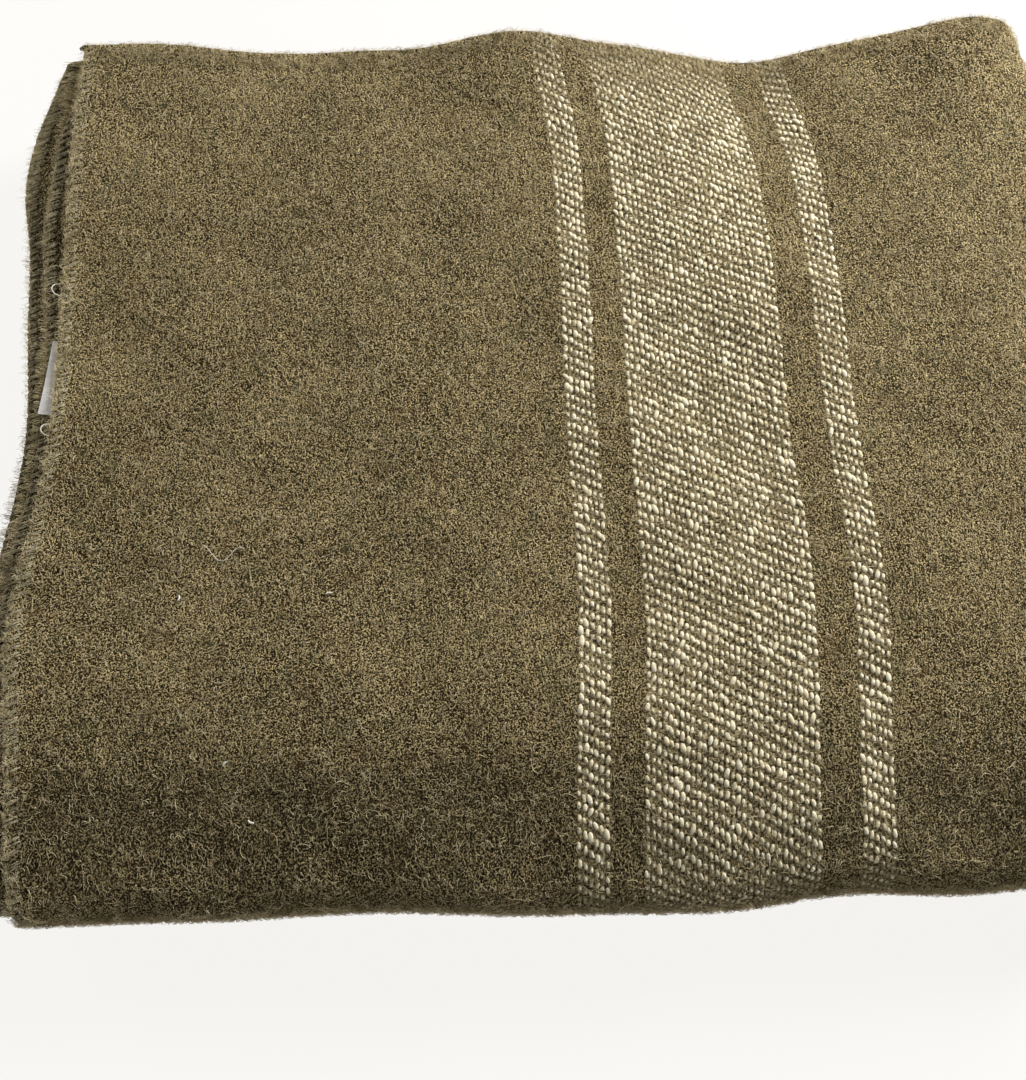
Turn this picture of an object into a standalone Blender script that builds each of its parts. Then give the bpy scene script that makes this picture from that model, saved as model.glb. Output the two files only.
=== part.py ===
"""A wool camp blanket, folded for storage: one woven cloth, an overlock thread along each cut end, and a care label.

The cloth is folded in half across its width, then twice in half along its length, and last of all in half once
more at the front. Those first three folds make a slab of eight layers. The last one lays half of the slab over
the other half, and it is the hinge: the upper half opens towards the front, as the blanket is opened.

Metres, +Z up, front at -Y. The cut ends and their stitching are at the left, -X.
"""

from math import cos, pi, radians, sin, sqrt

import bmesh
import bpy

# The flat cloth
CLOTH_WIDTH = 1.68
CLOTH_LENGTH = 2.03
CLOTH_THICKNESS = 0.0032

# How it is folded
LAYER_GAP = 0.0007
LAYER_PITCH = CLOTH_THICKNESS + LAYER_GAP
TOP_EDGE_INSET = 0.004
SECOND_EDGE_REACH = 0.006
THIRD_EDGE_REACH = 0.016
FOURTH_EDGE_REACH = 0.009

# Overlock stitching along the cut ends
EDGING_WIDTH = 0.006

# Care label, held by the top layer's edging
LABEL_LENGTH = 0.040
LABEL_WIDTH = 0.030
LABEL_THICKNESS = 0.0002
LABEL_REACH = 0.003
LABEL_TURN = radians(6)
LABEL_MIDDLE_Y = 0.026

# Between pieces that touch
CLEARANCE = 0.0003

TURN_STEPS = 10
HAIRPIN_STEPS = 6
FRONT_STEPS = 14

# Heights within the slab, from the face that is folded inwards at the front
OUTER_TURN_RADIUS = 3 * LAYER_PITCH
INNER_TURN_RADIUS = LAYER_PITCH
RIGHT_TURN_LEVEL = 4 * LAYER_PITCH
LEFT_TURN_LEVEL = 2 * LAYER_PITCH
SHEET_OFFSET = LAYER_PITCH / 2
SLAB_OUTSIDE = 7.5 * LAYER_PITCH + CLOTH_THICKNESS / 2

# The cloth's own length and width, less what its turns take up, shared among the flat panels
TURNS_ALONG = pi * (OUTER_TURN_RADIUS + 2 * INNER_TURN_RADIUS)
FAN_OF_FIRST_END = (SECOND_EDGE_REACH - TOP_EDGE_INSET) / 2
FAN_OF_LAST_END = (THIRD_EDGE_REACH + FOURTH_EDGE_REACH) / 2
PANEL_LENGTH = (CLOTH_LENGTH - TURNS_ALONG - FAN_OF_FIRST_END - FAN_OF_LAST_END) / 4
TURNS_ACROSS = 2 * pi * RIGHT_TURN_LEVEL + pi * SHEET_OFFSET
PANEL_DEPTH = (CLOTH_WIDTH - TURNS_ACROSS) / 4

# Where the folds are, with the whole blanket centred on the origin and resting at z = 0
RIGHT_REACH = OUTER_TURN_RADIUS + SHEET_OFFSET + CLOTH_THICKNESS / 2
BACK_REACH = SHEET_OFFSET + CLOTH_THICKNESS / 2
LEFT_X = THIRD_EDGE_REACH - (THIRD_EDGE_REACH + PANEL_LENGTH + RIGHT_REACH) / 2
RIGHT_X = LEFT_X + PANEL_LENGTH
HINGE_Y = SLAB_OUTSIDE - (SLAB_OUTSIDE + PANEL_DEPTH + BACK_REACH) / 2
HINGE_Z = SLAB_OUTSIDE

WOOL = (0.150, 0.115, 0.058)
THREAD = (0.120, 0.095, 0.050)
LABEL_WHITE = (0.80, 0.79, 0.76)


class Sheet:
    """One of the two sheets of the doubled cloth: how far it lies from the middle of the pair, and its cut ends."""

    def __init__(self, offset, first_end, last_end):
        self.offset = offset
        self.first_end = first_end
        self.last_end = last_end


OUTER = Sheet(SHEET_OFFSET, LEFT_X + TOP_EDGE_INSET, LEFT_X - FOURTH_EDGE_REACH)
INNER = Sheet(-SHEET_OFFSET, LEFT_X - SECOND_EDGE_REACH, LEFT_X - THIRD_EDGE_REACH)


def end_x(offset, outer_end, inner_end):
    """The cut end's x at an offset from the middle of the pair. It slopes from one sheet to the other at the back."""
    share = (offset - INNER.offset) / (OUTER.offset - INNER.offset)
    share = min(max(share, 0), 1)
    return inner_end + (outer_end - inner_end) * share


def first_end_x(offset):
    return end_x(offset, OUTER.first_end, INNER.first_end)


def last_end_x(offset):
    return end_x(offset, OUTER.last_end, INNER.last_end)


def first_panel_level(offset):
    return RIGHT_TURN_LEVEL + OUTER_TURN_RADIUS + offset


def last_panel_level(offset):
    return RIGHT_TURN_LEVEL + INNER_TURN_RADIUS - offset


def turn(centre_x, level, radius, side, start, stop):
    """Stations round one turn. Each gives (x, level) for an offset from the middle of the pair of sheets."""
    stations = []
    for step in range(TURN_STEPS + 1):
        angle = radians(start + (stop - start) * step / TURN_STEPS)

        def station(offset, sheet_offset, angle=angle):
            reach = radius + side * offset
            return centre_x + reach * cos(angle), level + reach * sin(angle)

        stations.append(station)
    return stations


def cloth_stations():
    """The slab's path from one cut end to the other: right, back to the left below, right again, and left."""

    def first_end(offset, sheet_offset):
        return first_end_x(sheet_offset) + EDGING_WIDTH, first_panel_level(offset)

    def last_end(offset, sheet_offset):
        return last_end_x(sheet_offset) + EDGING_WIDTH, last_panel_level(offset)

    outer_right = turn(RIGHT_X, RIGHT_TURN_LEVEL, OUTER_TURN_RADIUS, 1, 90, -90)
    left = turn(LEFT_X, LEFT_TURN_LEVEL, INNER_TURN_RADIUS, 1, -90, -270)
    inner_right = turn(RIGHT_X, RIGHT_TURN_LEVEL, INNER_TURN_RADIUS, -1, -90, 90)
    return [first_end, *outer_right, *left, *inner_right, last_end]


def edging_stations(edge_x, level):
    """From the cloth's raw edge out to the tip of the overlock stitching, which is rounded."""
    stations = []
    for share in (0.0, 0.35, 0.6, 0.8, 0.93, 1.0):
        roundness = sqrt(1 - 0.8 * share**2)

        def station(offset, sheet_offset, share=share, roundness=roundness):
            x = edge_x(sheet_offset) + (EDGING_WIDTH - CLEARANCE) * (1 - share)
            return x, level(sheet_offset + (offset - sheet_offset) * roundness)

        stations.append(station)
    return stations


def straight(sheet):
    """A sheet's course from the front fold to the back, as (distance, side direction, middle offset)."""
    return [(CLEARANCE, 0.0, 1.0, sheet.offset), (PANEL_DEPTH, 0.0, 1.0, sheet.offset)]


def hairpin():
    """Both sheets and the turn that joins them at the back."""
    course = straight(OUTER)
    for step in range(1, HAIRPIN_STEPS):
        angle = pi * step / HAIRPIN_STEPS
        along, across = sin(angle), cos(angle)
        course.append((PANEL_DEPTH + SHEET_OFFSET * along, along, across, SHEET_OFFSET * across))
    far, near = reversed(straight(INNER))
    course += [(far[0], 0.0, -1.0, far[3]), (near[0], 0.0, -1.0, near[3])]
    return course


def upper_place(x, distance, level):
    return x, HINGE_Y + distance, HINGE_Z + level


def lower_place(x, distance, level):
    return x, HINGE_Y + distance, HINGE_Z - level


def front_place(x, angle, level):
    return x, HINGE_Y - level * cos(angle), HINGE_Z + level * sin(angle)


def front_course(sheet):
    """Round the front fold, from the upper half down to the lower half, as angles."""
    angles = [pi / 2 - pi * step / FRONT_STEPS for step in range(FRONT_STEPS + 1)]
    return [(angle, 0.0, 1.0, sheet.offset) for angle in angles]


def skin(course, stations, place, side):
    """One face of the cloth, as rows of points: a row for each point of the course."""
    half = side * CLOTH_THICKNESS / 2
    rows = []
    for distance, along, across, middle in course:
        offset = middle + half * across
        rows.append([])
        for station in stations:
            x, level = station(offset, middle)
            rows[-1].append(place(x, distance + half * along, level))
    return rows


def add_object(name, mesh, colour, roughness, origin, parent=None):
    material = bpy.data.materials.new(name)
    material.use_nodes = True
    shader = material.node_tree.nodes["Principled BSDF"]
    shader.inputs["Base Color"].default_value = (*colour, 1.0)
    shader.inputs["Roughness"].default_value = roughness
    shader.inputs["Metallic"].default_value = 0.0
    mesh.materials.append(material)
    piece = bpy.data.objects.new(name, mesh)
    piece.location = origin
    if parent is not None:
        piece.parent = parent
    bpy.context.scene.collection.objects.link(piece)
    return piece


def add_cloth(name, course, stations, place, colour, parent):
    """A closed solid between the two faces of the cloth along a course."""
    outside = skin(course, stations, place, 1)
    inside = skin(course, stations, place, -1)
    shape = bmesh.new()
    sides = [[[shape.verts.new(p) for p in row] for row in rows] for rows in (outside, inside)]
    last_row, last_station = len(course) - 1, len(stations) - 1
    for rows in sides:
        for r in range(last_row):
            for s in range(last_station):
                shape.faces.new((rows[r][s], rows[r][s + 1], rows[r + 1][s + 1], rows[r + 1][s]))
    front, back = sides
    for s in range(last_station):
        for r in (0, last_row):
            shape.faces.new((front[r][s], front[r][s + 1], back[r][s + 1], back[r][s]))
    for r in range(last_row):
        for s in (0, last_station):
            shape.faces.new((front[r][s], front[r + 1][s], back[r + 1][s], back[r][s]))
    bmesh.ops.recalc_face_normals(shape, faces=shape.faces)
    mesh = bpy.data.meshes.new(name)
    shape.to_mesh(mesh)
    shape.free()
    mesh.shade_smooth()
    mesh.set_sharp_from_angle(angle=radians(50))
    return add_object(name, mesh, colour, 0.95, (0, 0, 0), parent)


def add_label(name, parent):
    """A thin woven tag between the first and second layers. One corner shows past the top layer's edge."""
    level = RIGHT_TURN_LEVEL + OUTER_TURN_RADIUS
    shape = bmesh.new()
    bmesh.ops.create_cube(shape, size=1.0)
    bmesh.ops.scale(shape, vec=(LABEL_WIDTH, LABEL_LENGTH, LABEL_THICKNESS), verts=shape.verts)
    mesh = bpy.data.meshes.new(name)
    shape.to_mesh(mesh)
    shape.free()
    corner_reach = (LABEL_WIDTH * cos(LABEL_TURN) + LABEL_LENGTH * sin(LABEL_TURN)) / 2
    x = OUTER.first_end - LABEL_REACH + corner_reach
    origin = (x, LABEL_MIDDLE_Y, HINGE_Z + level)
    label = add_object(name, mesh, LABEL_WHITE, 0.6, origin, parent)
    label.rotation_euler = (0, 0, -LABEL_TURN)
    return label


def add_hinge(name):
    """The line that the upper half opens about: the middle of the front fold."""
    hinge = bpy.data.objects.new(name, None)
    hinge.location = (0, HINGE_Y, HINGE_Z)
    hinge.empty_display_size = LAYER_PITCH
    bpy.context.scene.collection.objects.link(hinge)
    return hinge


def keep_place(piece):
    """Keeps a child where it was modelled, in world coordinates, under its parent."""
    piece.matrix_parent_inverse = piece.parent.matrix_world.inverted()


def build():
    for old in list(bpy.data.objects):
        bpy.data.objects.remove(old)
    hinge = add_hinge("front_fold_axis")
    bpy.context.view_layer.update()

    pieces = {"cloth": cloth_stations()}
    pieces["first_edging"] = edging_stations(first_end_x, first_panel_level)
    pieces["last_edging"] = edging_stations(last_end_x, last_panel_level)
    moving = []
    for kind, stations in pieces.items():
        colour = WOOL if kind == "cloth" else THREAD
        moving.append(add_cloth(f"{kind}_upper", hairpin(), stations, upper_place, colour, hinge))
        for side, sheet in (("outer", OUTER), ("inner", INNER)):
            add_cloth(f"{kind}_front_{side}", front_course(sheet), stations, front_place, colour, None)
            add_cloth(f"{kind}_lower_{side}", straight(sheet), stations, lower_place, colour, None)
    moving.append(add_label("care_label", hinge))
    for piece in moving:
        keep_place(piece)


build()
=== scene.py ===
"""The looks of the folded wool camp blanket: settled cloth, woven stripes, overlock stitching, nap and label.

The cloth follows the same folds as the CAD. settle() then gives every piece the soft shape of the real stack,
so all the pieces stay together. Metres, +Z up, front at -Y, the cut ends at the left.
"""

from math import cos, pi, radians, sin

import bpy
import numpy as np
from mathutils import Matrix, Vector


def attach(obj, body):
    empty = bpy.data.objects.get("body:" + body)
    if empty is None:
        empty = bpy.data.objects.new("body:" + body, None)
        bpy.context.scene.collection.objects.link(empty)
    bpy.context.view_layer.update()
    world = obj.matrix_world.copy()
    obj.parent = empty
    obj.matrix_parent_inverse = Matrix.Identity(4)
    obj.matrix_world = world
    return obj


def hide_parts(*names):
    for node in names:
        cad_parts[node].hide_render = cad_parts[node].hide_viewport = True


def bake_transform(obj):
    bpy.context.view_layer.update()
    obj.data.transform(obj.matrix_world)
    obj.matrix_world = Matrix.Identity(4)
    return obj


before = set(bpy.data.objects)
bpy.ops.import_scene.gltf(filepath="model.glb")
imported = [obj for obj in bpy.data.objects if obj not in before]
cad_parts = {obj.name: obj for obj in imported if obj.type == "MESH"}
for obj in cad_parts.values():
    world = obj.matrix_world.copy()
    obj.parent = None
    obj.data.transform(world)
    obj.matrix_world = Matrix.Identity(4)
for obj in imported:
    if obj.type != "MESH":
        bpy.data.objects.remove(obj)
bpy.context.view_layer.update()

random = np.random.default_rng(1943)

# The cloth and its folds, as the CAD has them
CLOTH_WIDTH = 1.68
CLOTH_LENGTH = 2.03
CLOTH_THICKNESS = 0.0032
HALF_THICKNESS = CLOTH_THICKNESS / 2
LAYER_PITCH = CLOTH_THICKNESS + 0.0007
TOP_EDGE_INSET = 0.004
SECOND_EDGE_REACH = 0.006
THIRD_EDGE_REACH = 0.016
FOURTH_EDGE_REACH = 0.009
OUTER_TURN_RADIUS = 3 * LAYER_PITCH
INNER_TURN_RADIUS = LAYER_PITCH
RIGHT_TURN_LEVEL = 4 * LAYER_PITCH
LEFT_TURN_LEVEL = 2 * LAYER_PITCH
SHEET_OFFSET = LAYER_PITCH / 2
SLAB_OUTSIDE = 7.5 * LAYER_PITCH + HALF_THICKNESS
TURNS_ALONG = pi * (OUTER_TURN_RADIUS + 2 * INNER_TURN_RADIUS)
FAN_OF_FIRST_END = (SECOND_EDGE_REACH - TOP_EDGE_INSET) / 2
FAN_OF_LAST_END = (THIRD_EDGE_REACH + FOURTH_EDGE_REACH) / 2
PANEL_LENGTH = (CLOTH_LENGTH - TURNS_ALONG - FAN_OF_FIRST_END - FAN_OF_LAST_END) / 4
TURNS_ACROSS = 2 * pi * RIGHT_TURN_LEVEL + pi * SHEET_OFFSET
PANEL_DEPTH = (CLOTH_WIDTH - TURNS_ACROSS) / 4
RIGHT_REACH = OUTER_TURN_RADIUS + SHEET_OFFSET + HALF_THICKNESS
BACK_REACH = SHEET_OFFSET + HALF_THICKNESS
LEFT_X = THIRD_EDGE_REACH - (THIRD_EDGE_REACH + PANEL_LENGTH + RIGHT_REACH) / 2
RIGHT_X = LEFT_X + PANEL_LENGTH
HINGE_Y = SLAB_OUTSIDE - (SLAB_OUTSIDE + PANEL_DEPTH + BACK_REACH) / 2
HINGE_Z = SLAB_OUTSIDE

# The front fold's outermost layer, from its middle line to where it lies flat
FRONT_RADIUS = 7.5 * LAYER_PITCH
HALF_FRONT = pi / 2 * FRONT_RADIUS
# Where the upper half's outer sheet turns at the back, along the cloth from the middle of the front fold
BACK_W = HALF_FRONT + PANEL_DEPTH

# How the cut ends of the outer and the inner sheet are fanned out
FIRST_TIPS = (LEFT_X + TOP_EDGE_INSET, LEFT_X - SECOND_EDGE_REACH)
LAST_TIPS = (LEFT_X - FOURTH_EDGE_REACH, LEFT_X - THIRD_EDGE_REACH)
TOP_PANEL = RIGHT_X - FIRST_TIPS[0]

# The woven stripes: narrow, wide, narrow. Each runs from one pick of the weft to another, counted from the
# cut end. A float is the yarn where it lies on top. Each pick's floats are shifted by a step of the twill.
STRIPE_PICKS = ((100, 106), (112, 143), (150, 156))
PICK_PITCH = 0.00242
FLOAT_PERIOD = 0.00495
TWILL_STEP = 0.25

# Nap hides the stripes' yarn over these lengths, at the back and round the front
NAPPED_BACK = 0.048
NAPPED_FRONT = 0.060


def smooth(value, start, stop):
    """0 before start and 1 after stop, with a soft change between them."""
    share = np.clip((value - start) / (stop - start), 0, 1)
    return share * share * (3 - 2 * share)


def bumps(value, parts):
    """The sum of soft bumps, each given as height, middle and reach."""
    return sum(height * np.exp(-(((value - middle) / reach) ** 2)) for height, middle, reach in parts)


def waves(x, y, size, seed, count=9):
    """A smooth random surface, mostly within -1 and 1, with hills about that size."""
    draw = np.random.default_rng(seed)
    total = np.zeros(np.broadcast(x, y).shape)
    for _ in range(count):
        turn = draw.uniform(0, 2 * pi)
        frequency = 2 * pi / (2 * size * draw.uniform(0.7, 1.5))
        phase = draw.uniform(0, 2 * pi)
        total += np.sin(frequency * (x * cos(turn) + y * sin(turn)) + phase)
    return total / count**0.5


# --- Where the cloth lies ---

PANEL_A, RIGHT_OUTER, PANEL_B, LEFT, PANEL_C, RIGHT_INNER, PANEL_D = range(7)


def tip_x(tips, middle):
    """A cut end's x. It slopes from the outer sheet's to the inner sheet's round the hairpin at the back."""
    share = np.clip((middle + SHEET_OFFSET) / (2 * SHEET_OFFSET), 0, 1)
    return tips[1] + (tips[0] - tips[1]) * share


def stretch_lengths(middle):
    """The lengths of the seven stretches of the path, from the first cut end to the last."""
    first = RIGHT_X - tip_x(FIRST_TIPS, middle)
    last = RIGHT_X - tip_x(LAST_TIPS, middle)
    outer, inner = pi * OUTER_TURN_RADIUS, pi * INNER_TURN_RADIUS
    return [first, outer, PANEL_LENGTH, inner, PANEL_LENGTH, inner, last]


def slab_place(stretch, share, offset, middle):
    """x and level in the slab, from the stretch of the path and the share of it that has been covered."""
    outer = OUTER_TURN_RADIUS + offset
    left = INNER_TURN_RADIUS + offset
    inner = INNER_TURN_RADIUS - offset
    first, last = tip_x(FIRST_TIPS, middle), tip_x(LAST_TIPS, middle)
    sine, cosine = np.sin(pi * share), np.cos(pi * share)
    places = (
        (first + (RIGHT_X - first) * share, RIGHT_TURN_LEVEL + outer),
        (RIGHT_X + outer * sine, RIGHT_TURN_LEVEL + outer * cosine),
        (RIGHT_X - PANEL_LENGTH * share, RIGHT_TURN_LEVEL - outer),
        (LEFT_X - left * sine, LEFT_TURN_LEVEL - left * cosine),
        (LEFT_X + PANEL_LENGTH * share, LEFT_TURN_LEVEL + left),
        (RIGHT_X + inner * sine, RIGHT_TURN_LEVEL - inner * cosine),
        (RIGHT_X + (last - RIGHT_X) * share, RIGHT_TURN_LEVEL + inner),
    )
    on = [stretch == k for k in range(7)]
    x, level = (np.select(on, np.broadcast_arrays(*part, sine)[:7]) for part in zip(*places))
    return x, level


def along_cloth(stretch, share, middle):
    """The distance along the cloth from its first cut end."""
    lengths = stretch_lengths(middle)
    return sum(length * np.clip(stretch + share - k, 0 if k else -1, 1) for k, length in enumerate(lengths))


def stretch_and_share(v, middle):
    """The stretch of the path, and the share of it, at a distance along the cloth."""
    starts = np.concatenate([[0], np.cumsum(stretch_lengths(middle))])
    stretch = np.clip(np.searchsorted(starts, v, side="right") - 1, 0, 6)
    return stretch, (v - starts[stretch]) / (starts[stretch + 1] - starts[stretch])


def upper_place(x, distance, level):
    return x, HINGE_Y + distance, HINGE_Z + level


def lower_place(x, distance, level):
    return x, HINGE_Y + distance, HINGE_Z - level


def front_place(x, angle, level):
    return x, HINGE_Y - level * np.cos(angle), HINGE_Z + level * np.sin(angle)


# --- How the real stack has settled ---

# Bumps, each as height, middle and reach. Along y: how far the three cut ends that show wander to the right,
# from the top layer down, and how far the stripes do.
TOP_EDGE = ((0.0042, 0.0, 0.050), (-0.0062, -0.095, 0.046))
SECOND_EDGE = ((0.0075, 0.006, 0.052), (-0.0035, 0.107, 0.026), (-0.003, -0.095, 0.040))
THIRD_EDGE = ((0.0080, -0.002, 0.054), (-0.0070, 0.140, 0.036), (0.0085, 0.222, 0.030))
STRIPE_SWAY = ((0.0050, -0.085, 0.070), (0.0026, 0.060, 0.080))
# Along x: how much higher the top is at the back, and how far the front and the back bulge towards the back
BACK_HUMPS = ((0.006, -0.222, 0.055), (0.0075, -0.010, 0.038), (0.0075, 0.228, 0.030), (-0.010, 0.116, 0.042))
FRONT_BULGES = ((-0.0030, 0.020, 0.050), (-0.0022, -0.225, 0.035))
BACK_BULGES = (
    (0.0050, -0.222, 0.055), (0.0042, -0.008, 0.040), (0.0055, 0.228, 0.032), (-0.0058, 0.118, 0.042)
)
FRONT_PUSH = -0.0050
FRONT_DROOP = -0.0088
CORNERS_PULLED_IN = (0.0075, 0.010)
SECOND_LAYER_PARTED = 0.0012
TOP_LAYER_PARTED = 0.0018


def edge_shift(level, y):
    """How far each cut end wanders to the right of its straight line, by its level in the slab."""
    top, second, third = (bumps(y, parts) for parts in (TOP_EDGE, SECOND_EDGE, THIRD_EDGE))
    second = second + 0.0080 * smooth(y, 0.150, 0.195)
    between = level / LAYER_PITCH
    shift = third + (second - third) * smooth(between, 5.9, 6.1)
    return shift + (top - shift) * smooth(between, 6.9, 7.1)


def height(x, y):
    """How much higher than the CAD the top surface lies."""
    back = smooth(y, 0.095, 0.205) * bumps(x, BACK_HUMPS)
    droop = FRONT_DROOP * smooth(-y, 0.132, 0.202)
    soft = 0.0011 * waves(x, y, 0.055, 11) + 0.0005 * waves(x, y, 0.020, 12)
    return back + droop + soft - 0.001


def settle(x, y, z):
    """The soft shape of the stack, for points of the straight folded cloth."""
    x, y, z = (np.array(part, float) for part in np.broadcast_arrays(x, y, z))
    level = np.where(y < HINGE_Y, np.hypot(y - HINGE_Y, z - HINGE_Z), np.abs(z - HINGE_Z))
    between = level / LAYER_PITCH
    in_upper = smooth(z, HINGE_Z - 0.004, HINGE_Z + 0.004)
    lift = np.clip((z - HINGE_Z) / HINGE_Z, 0, 1)

    near_left = 1 - smooth(x, LEFT_X + 0.002, LEFT_X + 0.050)
    fan = edge_shift(level, y) * in_upper + 0.003 * waves(y, level * 6, 0.05, 21) * (1 - in_upper)
    across_stripes = smooth(x, LEFT_X, -0.05) * (1 - smooth(x, 0.17, 0.25)) * (1 + smooth(x, 0, 0.137) * 0.2)
    sway = bumps(y, STRIPE_SWAY) - 0.0085 * smooth(y, 0.135, 0.215)
    at_back, at_front = smooth(y, 0.165, 0.216), smooth(-y, 0.175, 0.216)
    corner = smooth(x, 0.215, 0.262) * (CORNERS_PULLED_IN[0] * at_back + CORNERS_PULLED_IN[1] * at_front)
    corner_left = 0.0015 * (1 - smooth(x, -0.252, -0.215)) * smooth(-y, 0.185, 0.216)
    new_x = x + near_left * fan + across_stripes * sway - corner + corner_left

    in_layers = np.sin(pi * np.clip(z / HINGE_Z, 0, 2)) ** 2
    ripple = 0.0007 * waves(x, y + z * 3, 0.040, 31) * in_layers
    pressed = 0.0009 * (1 - smooth(z, 0, 0.008))
    at_cut_ends = 1 - smooth(x, LEFT_X - 0.006, LEFT_X + 0.022)
    parted = SECOND_LAYER_PARTED * smooth(between, 5.6, 6.2) + TOP_LAYER_PARTED * smooth(between, 6.6, 7.3)
    new_z = z + (height(x, y) + parted * at_cut_ends) * lift + ripple + pressed

    # The shift along y has to be none at the hinge plane, or the halves cut into each other when it opens
    forward = FRONT_PUSH + bumps(x, FRONT_BULGES) + 0.0040 * smooth(x, 0.060, 0.150)
    forward = forward + 0.001 * waves(x, 0, 0.04, 41)
    layer_slip = 0.0012 * waves(x, level * 5 + in_upper * 0.3, 0.060, 51) * (1 - lift * 0.6)
    at_back = (bumps(x, BACK_BULGES) + layer_slip) * smooth(y, 0.130, 0.212)
    new_y = y + forward * smooth(-y, -HINGE_Y, 0.214) + at_back
    return np.stack([new_x, new_y, new_z], axis=-1)


# --- Meshes ---


def new_object(name, data):
    """An object that holds this data, linked to the scene."""
    made = bpy.data.objects.new(name, data)
    bpy.context.scene.collection.objects.link(made)
    return made


class Shape:
    """Points, places on the cloth, faces and places on the bake map, gathered for one mesh."""

    def __init__(self):
        self.parts, self.weights, self.count = [], [], 0

    def add(self, points, uvs, quads, triangles, quad_map, triangle_map, weight=1.0):
        """The maps lie in a unit square, which becomes a band of the piece's map, as high as its weight."""
        self.parts.append((points, uvs, quads + self.count, triangles + self.count, quad_map, triangle_map))
        self.weights.append(weight)
        self.count += len(points)

    def make(self, name, material, smooth_angle=None):
        """The object, with two maps: places on the flat cloth, in metres, and the map for the bake."""
        *bodies, quad_maps, triangle_maps = zip(*self.parts)
        points, uvs, quads, triangles = (np.concatenate(body) for body in bodies)
        shares = np.array(self.weights) / sum(self.weights)
        bands = list(zip(shares, np.cumsum(shares) - shares))
        fitted = []
        for maps in (quad_maps, triangle_maps):
            for on_map, (share, start) in zip(maps, bands):
                fitted.append((on_map * (1, share) + (0, start)).reshape(-1, 2))
        corners = np.concatenate([quads.ravel(), triangles.ravel()]).astype(np.int32)
        sizes = np.repeat([4, 3], [len(quads), len(triangles)]).astype(np.int32)
        mesh = bpy.data.meshes.new(name)
        mesh.vertices.add(len(points))
        mesh.vertices.foreach_set("co", points.astype(np.float32).ravel())
        mesh.loops.add(len(corners))
        mesh.loops.foreach_set("vertex_index", corners)
        mesh.polygons.add(len(sizes))
        mesh.polygons.foreach_set("loop_start", (np.cumsum(sizes) - sizes).astype(np.int32))
        mesh.update(calc_edges=True)
        for map_name, places in (("cloth", uvs[corners]), ("OFBake", np.concatenate(fitted))):
            layer = mesh.uv_layers.new(name=map_name)
            layer.data.foreach_set("uv", places.astype(np.float32).ravel())
        mesh.uv_layers.active = mesh.uv_layers["cloth"]
        mesh.shade_smooth()
        if smooth_angle is not None:
            mesh.set_sharp_from_angle(angle=smooth_angle)
        mesh.materials.append(material)
        return new_object(name, mesh)


def grid_faces(rows, columns):
    """Quads between the points of a grid that is stored row by row."""
    corner = (np.arange(rows - 1)[:, None] * columns + np.arange(columns - 1)).ravel()
    return np.stack([corner, corner + 1, corner + columns + 1, corner + columns], axis=1)


def grid_map(across, down, low, high):
    """Places on the map for a grid's quads. across and down run from 0 to 1; down goes in low to high."""
    columns = len(across)
    corner = grid_faces(len(down), columns)
    x = across[corner % columns]
    y = low + (high - low) * down[corner // columns]
    return np.stack([x, y], axis=-1)


# The shares of a sheet's map that its outside, its inside and its rims get, as heights on the map
OUTSIDE_BAND = (0.002, 0.840)
INSIDE_BAND = (0.846, 0.950)
RIM_BANDS = ((0.956, 0.964), (0.967, 0.975), (0.978, 0.986), (0.989, 0.997))
MAP_MARGIN = 0.002


def spread(steps):
    """Places from the margin to the far margin of the map, in steps of these relative sizes."""
    places = np.concatenate([[0.0], np.cumsum(steps)])
    return MAP_MARGIN + (1 - 2 * MAP_MARGIN) * places / places[-1]


def closed_sheet(outside, inside, uv, row_steps=None, column_steps=None):
    """A thin closed solid between two grids of points, as Shape.add takes it."""
    rows, columns = outside.shape[:2]
    total = rows * columns
    down = spread(np.ones(rows - 1) if row_steps is None else row_steps)
    across = spread(np.ones(columns - 1) if column_steps is None else column_steps)
    faces = grid_faces(rows, columns)
    outside_map = grid_map(across, down, *OUTSIDE_BAND)
    inside_map = grid_map(across, down, *INSIDE_BAND)[:, ::-1]
    rims, rim_maps = [], []
    index = np.arange(total).reshape(rows, columns)
    lines = ((index[0], across, 0), (index[-1], across, 1), (index[:, 0], down, 1), (index[:, -1], down, 0))
    for (line, places, flip), (low, high) in zip(lines, RIM_BANDS):
        rim = np.stack([line[:-1], line[:-1] + total, line[1:] + total, line[1:]], axis=1)
        before, after = places[:-1], places[1:]
        low, high = np.full(len(before), low), np.full(len(before), high)
        on_map = np.stack([[before, low], [before, high], [after, high], [after, low]]).transpose(2, 0, 1)
        rims.append(rim[:, ::-1] if flip else rim)
        rim_maps.append(on_map[:, ::-1] if flip else on_map)
    quads = np.concatenate([faces, faces[:, ::-1] + total, *rims])
    quad_map = np.concatenate([outside_map, inside_map, *rim_maps])
    points = np.concatenate([outside.reshape(-1, 3), inside.reshape(-1, 3)])
    uvs = np.concatenate([uv.reshape(-1, 2)] * 2)
    a, b, c, d = (points[quads[:, k]] for k in range(4))
    if (np.cross(b - a, c - a) * a + np.cross(c - a, d - a) * a).sum() < 0:
        quads, quad_map = quads[:, ::-1], quad_map[:, ::-1]
    return points, uvs, quads, np.zeros((0, 3), int), quad_map, np.zeros((0, 3, 2))


RINGS_PER_CELL = 28


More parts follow.
